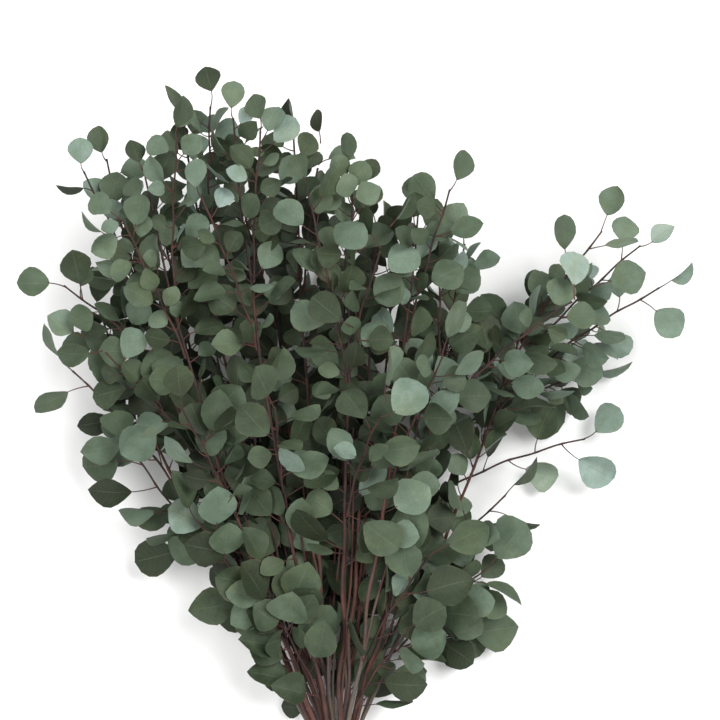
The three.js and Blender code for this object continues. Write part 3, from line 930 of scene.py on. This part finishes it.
added = 0
for lap, (reach, inside) in enumerate(foliage["laps"]):
    for number, twig in enumerate(twigs):
        rng = random.Random(4100 + 60 * lap + number)
        run = twig["firstLeaf"] + foliage["spacing"] * (0.5 + 0.5 * lap)
        if lap:  # then from the bare part too, wherever a gap is left
            bareTop = bandMiddle.y + foliage["bareUpTo"]
            above = (value for value, spot in zip(twig["run"], twig["path"]) if spot.y > bareTop)
            run = min(run, next(above, run) + 6 * mm * lap)
        side = 1
        while run < twig["run"][-1] - 2 * mm:
            young = foliage["budSize"] if twig["run"][-1] - run < foliage["budLength"] else 1
            best, bestGain = None, foliage["least"]
            for attempt in range(foliage["tries"]):
                seat, kind, places = drawLeaf(twig, run, side if attempt % 3 else -side, rng, young)
                fresh = [cell for cell in shadowCells(places) if cell not in covered]
                if len(fresh) < 3:
                    continue
                gain = sum(closeness(cell, reach) - inside for cell in fresh)
                if gain <= bestGain:
                    continue
                free = isFree(places, kind, seat)
                if free:
                    best, bestGain = (seat, kind, places, free), gain
                    if gain > foliage["enough"]:
                        break
            if best:
                grow(twig, *best, rng)
                added += 1
            side = -side
            run += foliage["spacing"] * mix(0.8, 1.3, rng.random())
print(added, "further leaves between them")

# leaves deep inside the bunch, under the others
inner = 0
for number, twig in enumerate(twigs):
    rng = random.Random(8800 + number)
    run = twig["firstLeaf"] - 40 * mm if twig["name"].startswith("branch") else twig["firstLeaf"]
    side = -1
    while run < twig["run"][-1] - 20 * mm:
        for attempt in range(hidden["innerTries"]):
            seat, kind, places = drawLeaf(twig, run, side, rng, hidden["innerSize"])
            if any(cell not in covered for cell in shadowCells(places)):
                continue
            free = isFree(places, kind, seat)
            if free:
                grow(twig, seat, kind, places, free, rng)
                inner += 1
                break
        side = -side
        run += hidden["spacing"] * mix(0.8, 1.3, rng.random())
print(inner, "leaves deep inside")

# leaves behind the bare stems, above the band
behind = 0
branchTwigs = [twig for twig in twigs if twig["name"].startswith("branch")]
for number, twig in enumerate(branchTwigs[:hidden["behindStems"]]):
    rng = random.Random(9700 + number)
    bottom = bandMiddle.y + hidden["behindFrom"]
    run = next(run for run, spot in zip(twig["run"], twig["path"]) if spot.y > bottom)
    side = 1
    while run < twig["firstLeaf"] + 20 * mm:
        for attempt in range(hidden["behindTries"]):
            towards = side if attempt % 2 else -side
            seat, kind, places = drawLeaf(twig, run, towards, rng, hidden["behindSize"])
            middle = sum(places, Vector()) / len(places)
            fan = [atLevel(other, middle.y).x for other in branchTwigs]
            if middle.z > seat["root"].z + hidden["mostRise"]:
                continue
            if not min(fan) - hidden["fanMargin"] < middle.x < max(fan) + hidden["fanMargin"]:
                continue
            free = isFree(places, kind, seat)
            if free:
                grow(twig, seat, kind, places, free, rng)
                behind += 1
                break
        side = -side
        run += hidden["spacing"] * mix(0.8, 1.3, rng.random())
print(behind, "leaves behind the bare stems")

for twig in twigs:
    bpy.ops.object.select_all(action="DESELECT")
    for part in twig["parts"]:
        part.select_set(True)
    twig["stem"].select_set(True)
    bpy.context.view_layer.objects.active = twig["stem"]
    bpy.ops.object.join()
    whole = bpy.context.object
    whole.name = twig["name"].replace("branch", "leafy_branch").replace("side_shoot", "leafy_shoot")
    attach(whole, "root")
    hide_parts(twig["name"])
for model in [*leafModels, stalkModel]:
    bpy.data.objects.remove(model)
print("branches joined with their leaves")

# rubber band
bandShape = {"bevel": 0.4 * mm, "rounding": 2}

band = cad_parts["rubber_band"].copy()
band.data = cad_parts["rubber_band"].data.copy()
bpy.context.scene.collection.objects.link(band)
band.name = "band_round_stems"
for key in list(band.keys()):
    del band[key]
makeActive(band)
bpy.ops.object.mode_set(mode="EDIT")
bpy.ops.mesh.select_all(action="SELECT")
bpy.ops.mesh.remove_doubles(threshold=weld)
bpy.ops.mesh.tris_convert_to_quads()
bpy.ops.object.mode_set(mode="OBJECT")
rounded = band.modifiers.new("rounded edges", "BEVEL")
rounded.width = bandShape["bevel"]
rounded.segments = bandShape["rounding"]
rounded.angle_limit = math.radians(50)
bpy.ops.object.modifier_apply(modifier=rounded.name)
bpy.ops.object.shade_smooth_by_angle(angle=math.radians(60))
band.data.materials.clear()
band.data.materials.append(rubber)
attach(band, "root")
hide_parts("rubber_band")
print("band made")

# floor, light and camera
studio = {
    "floor": (0.92, 0.92, 0.915),
    "sky": 0.31,
    "lamps": [  # the side each comes from, how soft in degrees, strength
        ((1.3, 0.9, 2.2), 35, 3.15),
        ((-1.5, 0.3, 2.0), 45, 1.8),
        ((0.1, -1.9, 2.0), 45, 0.8),
    ],
    "cameraPlace": (0.025, 0.427),  # from the band
    "cameraHeight": 2.6,  # above the reference level of the leaves
    "reference": 0.12,
    "viewWidth": 0.72,
}

bpy.ops.object.select_all(action="DESELECT")
bpy.ops.mesh.primitive_plane_add(size=60, location=(0, 0, 0))
floor = bpy.context.object
floor.name = "pale floor"
paper, _, paperShader = newMaterial("pale paper", 0.9)
paperShader.inputs["Base Color"].default_value = (*studio["floor"], 1)
floor.data.materials.append(paper)

for place, softness, strength in studio["lamps"]:
    bpy.ops.object.light_add(type="SUN", location=place)
    lamp = bpy.context.object
    lamp.data.angle = math.radians(softness)
    lamp.data.energy = strength
    lamp.rotation_euler = (-Vector(place)).to_track_quat("-Z", "Y").to_euler()

world = bpy.data.worlds.new("studio")
world.use_nodes = True
world.node_tree.nodes["Background"].inputs[0].default_value = (1, 1, 1, 1)
world.node_tree.nodes["Background"].inputs[1].default_value = studio["sky"]
bpy.context.scene.world = world
bpy.context.scene.view_settings.view_transform = "Standard"

right, ahead = studio["cameraPlace"]
height = studio["reference"] + studio["cameraHeight"]
place = (bandMiddle.x + right, bandMiddle.y + ahead, height)
bpy.ops.object.camera_add(location=place, rotation=(0, 0, 0))
camera = bpy.context.object
camera.data.sensor_width = 36
camera.data.lens = 36 * studio["cameraHeight"] / studio["viewWidth"]
camera.data.clip_end = 80
bpy.context.scene.camera = camera

print("done")
